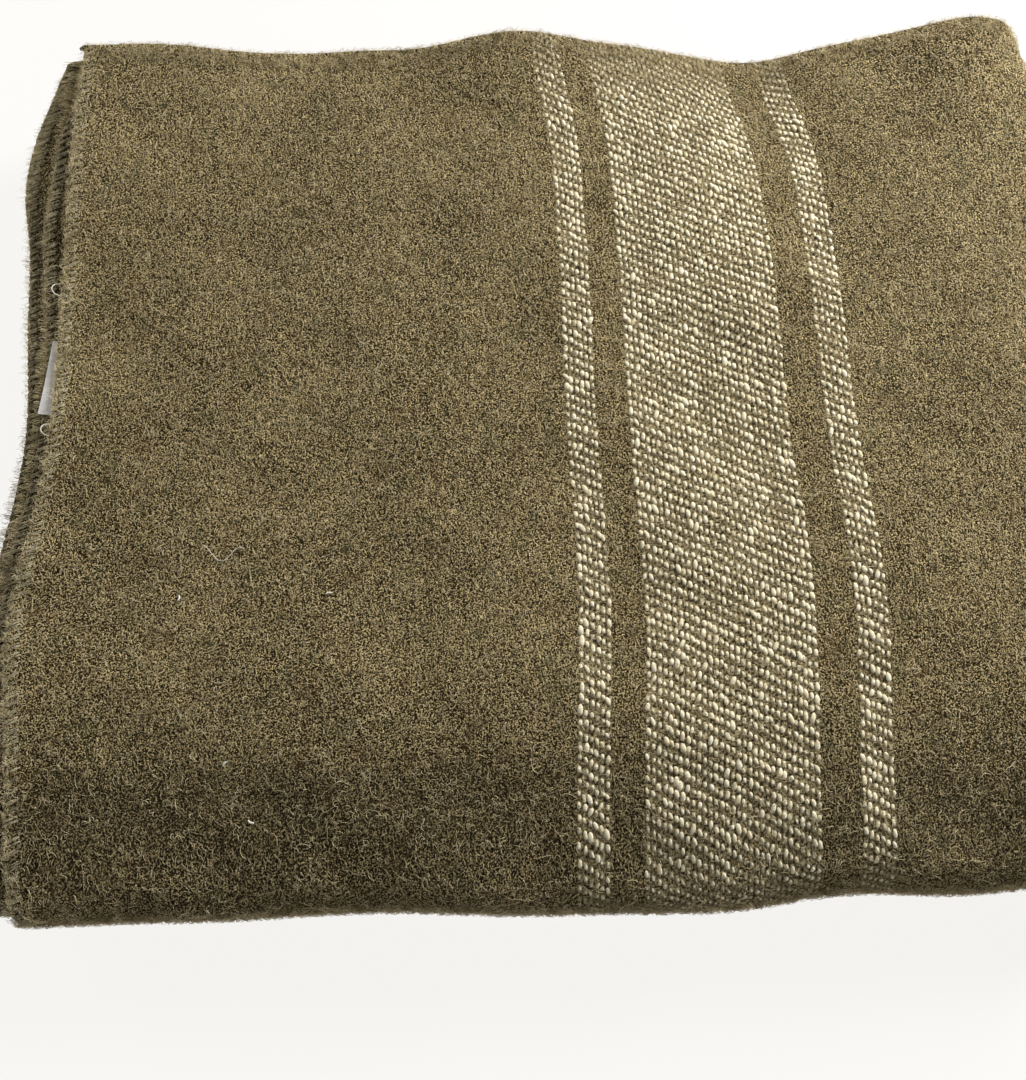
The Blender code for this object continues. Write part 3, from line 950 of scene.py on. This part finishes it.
def loose_threads():
    """Paths and radii of the loose threads, the lint and the long hair, for build_strands."""
    step = np.linspace(0, 1, 17)
    paths = []
    for place, length, reach in LOOSE_LOOPS:
        out = np.sin(pi * step)
        v = 0.0006 - (reach + 0.0006) * out**0.8
        w = place - length / 2 * np.cos(pi * step)
        paths.append((v, w, HALF_THICKNESS + 0.0004 * out - 0.0012 * (1 - out), 0.00026 + 0 * step))
    for k, (v0, w0) in enumerate(LINT_PLACES):
        turn = 0.8 + 1.9 * k
        along = (step - 0.5) * 0.0030
        bow = 0.0006 * np.cos(pi * (step - 0.5))
        v = v0 + along * cos(turn) - bow * sin(turn)
        w = w0 + along * sin(turn) + bow * cos(turn)
        paths.append((v, w, HALF_THICKNESS + 0.0006 + 0 * step, 0.00042 * np.sin(pi * step) ** 0.5 + 0.00006))
    v = HAIR_START[0] + 0.0190 * step
    w = HAIR_START[1] + 0.0034 * np.cos(2.2 * pi * step) - 0.0020 * step
    paths.append((v, w, HALF_THICKNESS + 0.0009 + 0.0004 * np.sin(9 * step), 0.00017 + 0 * step))
    return [np.stack(part) for part in zip(*paths)]


build_strands("loose_thread", *loose_threads(), LINT, sides=6)

# --- Overlock stitching ---

STITCH_PITCH = 0.0041
STITCH_BITE = 0.0062
STITCH_SLANT = 0.0016
STRAND_RADIUS = 0.00040
STRAND_SPREAD = 0.00075
STRANDS = (-1, 0, 1)
POINTS_PER_STITCH = 14
SUNK_INTO_NAP = 0.0004
STRAND_SIDES = 5


def stitch_line(start, stop, strand, middle, end, sunk):
    """One strand of the overlock yarn, wound round a cut end: v, w, rise and radius along it."""
    seed = 70 + 10 * strand + (5 if middle > 0 else 0) + (50 if end == "last" else 0)
    count = int((stop - start) / STITCH_PITCH * POINTS_PER_STITCH)
    along = np.linspace(start + 0.0006, stop - 0.0006, count)
    turn = 2 * pi * along / STITCH_PITCH
    bite = STITCH_BITE * (1 + 0.10 * waves(along, 0, 0.006, seed + 1))
    inboard = np.clip(bite * (0.5 - 0.60 * np.cos(turn)), -0.0003, None)
    near_tip = np.sqrt(np.clip((inboard + 0.0003) / 0.0018, 0, 1))
    top = HALF_THICKNESS + 0.0002 - sunk
    rise = top * np.clip(1.7 * np.sin(turn), -1, 1) * (0.2 + 0.8 * near_tip)
    spread = STRAND_SPREAD * strand * (1 + 0.4 * waves(along, 0, 0.005, seed + 2))
    slant = STITCH_SLANT * inboard / STITCH_BITE
    w = along + spread + slant + 0.0003 * waves(along, 0, 0.004, seed + 3)
    w = np.clip(w, start + 0.0004, stop - 0.0004)
    radius = STRAND_RADIUS * (1 + 0.2 * waves(along, 0, 0.003, seed + 4))
    total = sum(stretch_lengths(middle))
    v = inboard if end == "first" else total - inboard
    return v, w, rise if end == "first" else -rise, radius


def overlock(end):
    """A three-strand yarn wound round one cut end of both sheets, in slanted stitches."""
    sections = (
        (UPPER, HALF_FRONT, PANEL_DEPTH, ("",)),
        (FRONT, -HALF_FRONT, 2 * HALF_FRONT, ("_outer", "_inner")),
        (LOWER, -BACK_W, PANEL_DEPTH, ("_outer", "_inner")),
    )
    for which, start, reach, sheets in sections:
        shape = Shape()
        for middle in (SHEET_OFFSET, -SHEET_OFFSET):
            total = sum(stretch_lengths(middle))
            napped_over = SUNK_INTO_NAP if end == "first" and middle > 0 else 0.0
            for strand in STRANDS:
                v, w, rise, radius = stitch_line(start, start + reach, strand, middle, end, napped_over)
                lines = on_cloth(v, w, rise, middle)[None]
                up = outward(np.clip(v, 0.001, total - 0.001), w, middle)[None]
                points, *faces_and_maps = tubes(lines, radius[None], up + 0.3, STRAND_SIDES)
                uv = np.repeat(np.stack([w, v], axis=-1), STRAND_SIDES, axis=0)
                shape.add(points, uv, *faces_and_maps)
        piece = shape.make(f"overlock_{end}_{which}", THREAD)
        place_piece(piece, which)
        finish_piece(piece, "overlock_thread", *[f"{end}_edging_{which}{sheet}" for sheet in sheets])


overlock("first")
overlock("last")

# --- Care label ---

LABEL_LENGTH = 0.040
LABEL_WIDTH = 0.030
LABEL_TURN = radians(6)
LABEL_MIDDLE_Y = 0.026
LABEL_REACH = 0.003
LABEL_PULLED_OUT = 0.0048


def care_label():
    """A blank white tag that lies between the first and the second layer and follows them."""
    corner_reach = (LABEL_WIDTH * cos(LABEL_TURN) + LABEL_LENGTH * sin(LABEL_TURN)) / 2
    middle_x = FIRST_TIPS[0] - LABEL_REACH + corner_reach - LABEL_PULLED_OUT
    a = np.linspace(-0.5, 0.5, 13)[:, None] * LABEL_LENGTH
    b = np.linspace(-0.5, 0.5, 11)[None, :] * LABEL_WIDTH
    x = middle_x + b * cos(LABEL_TURN) + a * sin(LABEL_TURN)
    y = LABEL_MIDDLE_Y - b * sin(LABEL_TURN) + a * cos(LABEL_TURN)
    clear_of_stitches = 0.0004 * (1 - smooth(x, FIRST_TIPS[0] - 0.0010, FIRST_TIPS[0] + 0.0015))
    level = RIGHT_TURN_LEVEL + OUTER_TURN_RADIUS + clear_of_stitches
    faces = [settle(x, y, HINGE_Z + level + side * 0.0001) for side in (1, -1)]
    uv = np.stack(np.broadcast_arrays(b + 0 * a, a + 0 * b), axis=-1)
    shape = Shape()
    shape.add(*closed_sheet(*faces, uv))
    return shape.make("care_label_tag", LABEL, SOFT_EDGE)


label = care_label()
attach(label, "upper_half")
finish_piece(label, "label", "care_label")

# --- Floor, light and camera ---

WARM_WHITE = (1.0, 0.985, 0.96)
FLOOR_PAINT = (0.13, 0.127, 0.124)
FLOOR_GLOW = 0.885
FLOOR_REACH = 8.0
FLOOR_LEVEL = -0.0005
WORLD_COLOUR = (1.0, 0.99, 0.975, 1.0)
WORLD_STRENGTH = 0.15
# Place, size across and power of each lamp. Both point at the origin.
LAMPS = {"window": ((0.93, 0.64, 0.60), 0.55, 24.5), "fill": ((-0.80, 0.30, 0.28), 0.4, 1.8)}
CAMERA_PLACE = (-0.0198, -0.2065, 0.5267)
CAMERA_TURNS = {"pitch": radians(72.56), "yaw": radians(0.62), "roll": radians(-2.02)}
CAMERA_LENS = CAMERA_SENSOR = 36.0


def add_floor():
    """Matt white that is lit from within as well, as a paper sweep is by the studio round it."""
    material = Nodes("floor_paint")
    material.fill({"Base Color": FLOOR_PAINT, "Roughness": 0.9, "Specular IOR Level": 0.0})
    material.fill({"Emission Color": WARM_WHITE, "Emission Strength": FLOOR_GLOW})
    mesh = bpy.data.meshes.new("floor")
    corners = [(x * FLOOR_REACH, y * FLOOR_REACH, 0) for x, y in ((-1, -1), (1, -1), (1, 1), (-1, 1))]
    mesh.from_pydata(corners, [], [(0, 1, 2, 3)])
    mesh.materials.append(material.material)
    floor = new_object("floor", mesh)
    floor.location.z = FLOOR_LEVEL


def add_lamp(name, place, size, power):
    light = bpy.data.lights.new(name, "AREA")
    light.shape = "DISK"
    light.size = size
    light.energy = power
    light.color = WARM_WHITE
    lamp = new_object(name, light)
    lamp.location = place
    lamp.rotation_euler = (-Vector(place)).to_track_quat("-Z", "Y").to_euler()


def add_camera(pitch, yaw, roll):
    forward = Vector((-sin(yaw) * cos(pitch), cos(yaw) * cos(pitch), -sin(pitch)))
    level_right = Vector((cos(yaw), sin(yaw), 0))
    level_up = level_right.cross(forward)
    right = cos(roll) * level_right + sin(roll) * level_up
    up = -sin(roll) * level_right + cos(roll) * level_up
    data = bpy.data.cameras.new("camera")
    data.lens, data.sensor_width, data.sensor_fit = CAMERA_LENS, CAMERA_SENSOR, "AUTO"
    data.clip_start = 0.01
    camera = new_object("camera", data)
    turn = Matrix((right, up, -forward)).transposed().to_4x4()
    camera.matrix_world = Matrix.Translation(CAMERA_PLACE) @ turn
    bpy.context.scene.camera = camera


add_floor()
for name, settings in LAMPS.items():
    add_lamp(name, *settings)
world = bpy.data.worlds.new("studio")
bpy.context.scene.world = world
world.use_nodes = True
world.node_tree.nodes["Background"].inputs[0].default_value = WORLD_COLOUR
world.node_tree.nodes["Background"].inputs[1].default_value = WORLD_STRENGTH
bpy.context.scene.view_settings.view_transform = "Standard"
add_camera(**CAMERA_TURNS)
